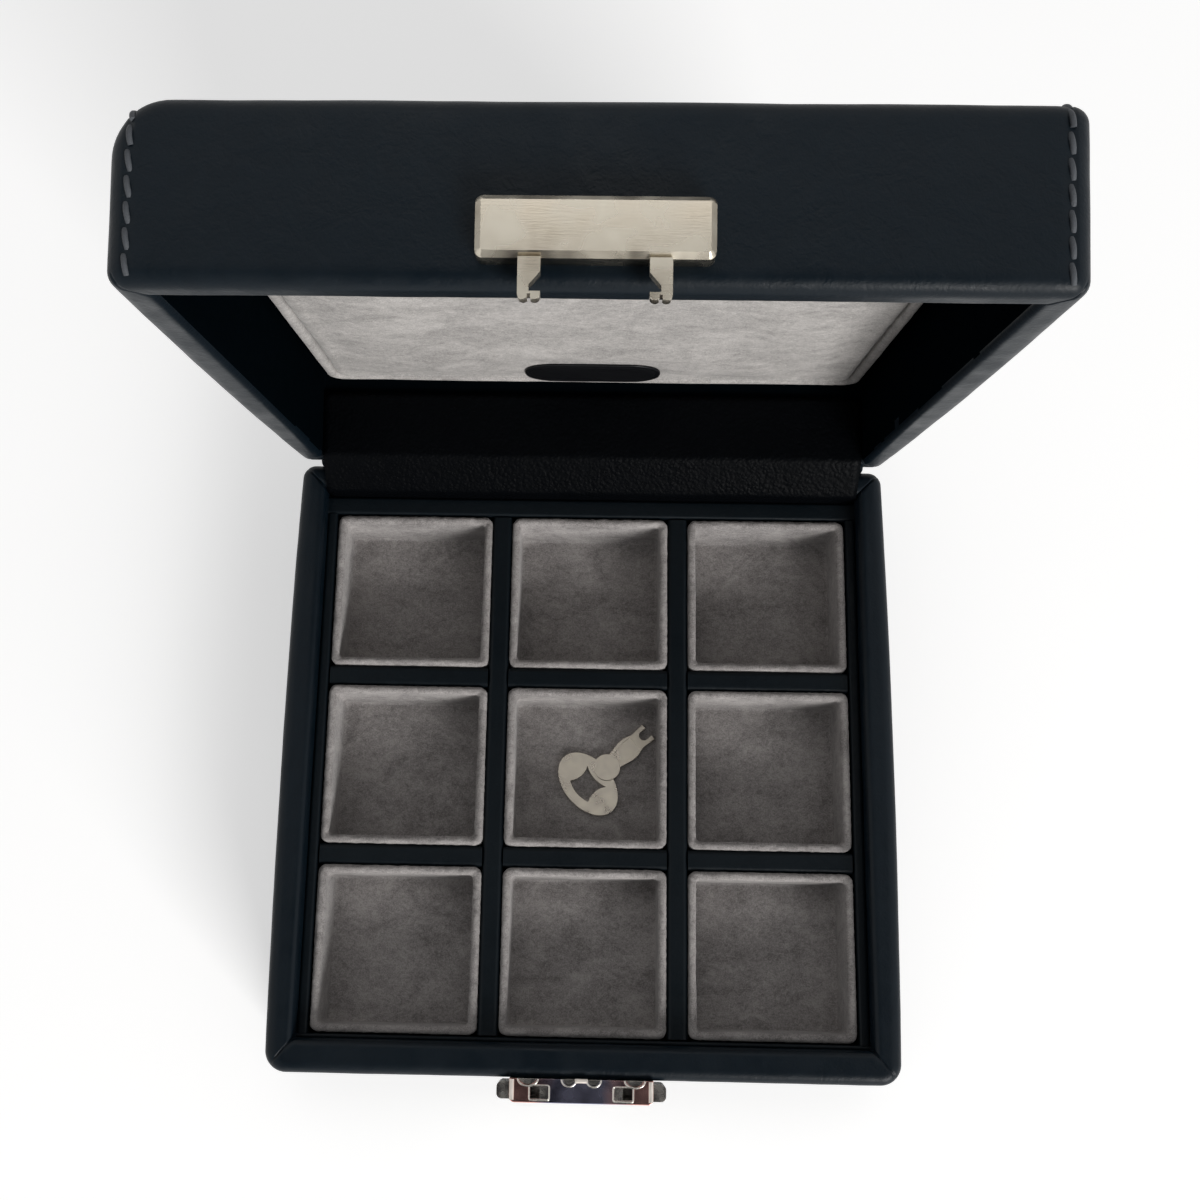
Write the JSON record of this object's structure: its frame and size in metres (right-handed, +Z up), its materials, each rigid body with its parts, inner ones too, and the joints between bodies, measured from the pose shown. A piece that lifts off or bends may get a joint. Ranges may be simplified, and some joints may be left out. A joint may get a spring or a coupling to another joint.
{
  "type": "cufflink box",
  "caption": "Leather-covered cufflink box with a hinged lid, suede-lined cups between leather dividers, a padded lid, a press lock with side buttons and a forked key.",
  "frame": {"origin": "centre of the underside of the base", "axes": "+Z up, +X to the right seen from the front, +Y from the front with the lock to the hinge at the back"},
  "size_m": [0.1518, 0.186, 0.1876],
  "materials": {
    "leather": "smooth blue-black leather with a soft sheen",
    "suede": "grey suede with a short mottled nap",
    "board": "plain hardboard, hidden under the leather",
    "wadding": "plain wadding, hidden under the suede",
    "felt": "black pressed felt",
    "satin_nickel": "warm satin nickel plate",
    "bright_nickel": "polished nickel plate",
    "key_steel": "stamped nickel-plated steel, lightly worn",
    "plain_steel": "plain steel inside the lock"
  },
  "bodies": {
    "base": {"base_carcass": "board", "base_cover": "leather", "cup_back_centre": "suede", "cup_back_left": "suede", "cup_back_right": "suede", "cup_front_centre": "suede", "cup_front_left": "suede", "cup_front_right": "suede", "cup_middle_centre": "suede", "cup_middle_left": "suede", "cup_middle_right": "suede", "divider_back": "leather", "divider_front": "leather", "divider_left": "leather", "divider_right": "leather", "hinge_strip": "leather", "left_spring": "plain_steel", "liner_back": "leather", "liner_front": "leather", "liner_left": "leather", "liner_right": "leather", "lock_backplate": "plain_steel", "lock_case": "bright_nickel", "lock_rivets": "plain_steel", "packing_board": "board", "right_spring": "plain_steel", "spine": "leather", "underside_felt": "felt"},
    "lid": {"lid_carcass": "board", "lid_cover": "leather", "lid_foam": "wadding", "lid_pad": "suede", "lid_pad_border": "suede", "label_patch": "leather", "hasp": "satin_nickel", "hasp_prongs": "plain_steel"},
    "left_latch": {"left_latch": "bright_nickel"},
    "right_latch": {"right_latch": "bright_nickel"},
    "lock_cam": {"lock_cam": "bright_nickel"},
    "key": {"key": "key_steel"}
  },
  "joints": [
    {"name": "lid_hinge", "type": "hinge", "parent": "base", "child": "lid", "pos_m": [0, 0.0757, 0.03215], "axis": [1, 0, 0], "range_deg": [0, 80], "deforming": ["hinge_strip", "spine"]},
    {"name": "left_button", "type": "slide", "parent": "base", "child": "left_latch", "axis": [1, 0, 0], "range_m": [0, 0.002], "stiffness_N_per_m": 120, "springref_m": -0.002, "deforming": ["left_spring"]},
    {"name": "right_button", "type": "slide", "parent": "base", "child": "right_latch", "axis": [-1, 0, 0], "range_m": [0, 0.002], "stiffness_N_per_m": 120, "springref_m": -0.002, "deforming": ["right_spring"]},
    {"name": "lock_turn", "type": "hinge", "parent": "base", "child": "lock_cam", "pos_m": [0, -0.0787, 0.0215], "axis": [0, -1, 0], "range_deg": [0, 90]},
    {"name": "key_lift", "type": "slide", "parent": "base", "child": "key", "axis": [0, 0, 1], "range_m": [0, 0.03]}
  ]
}
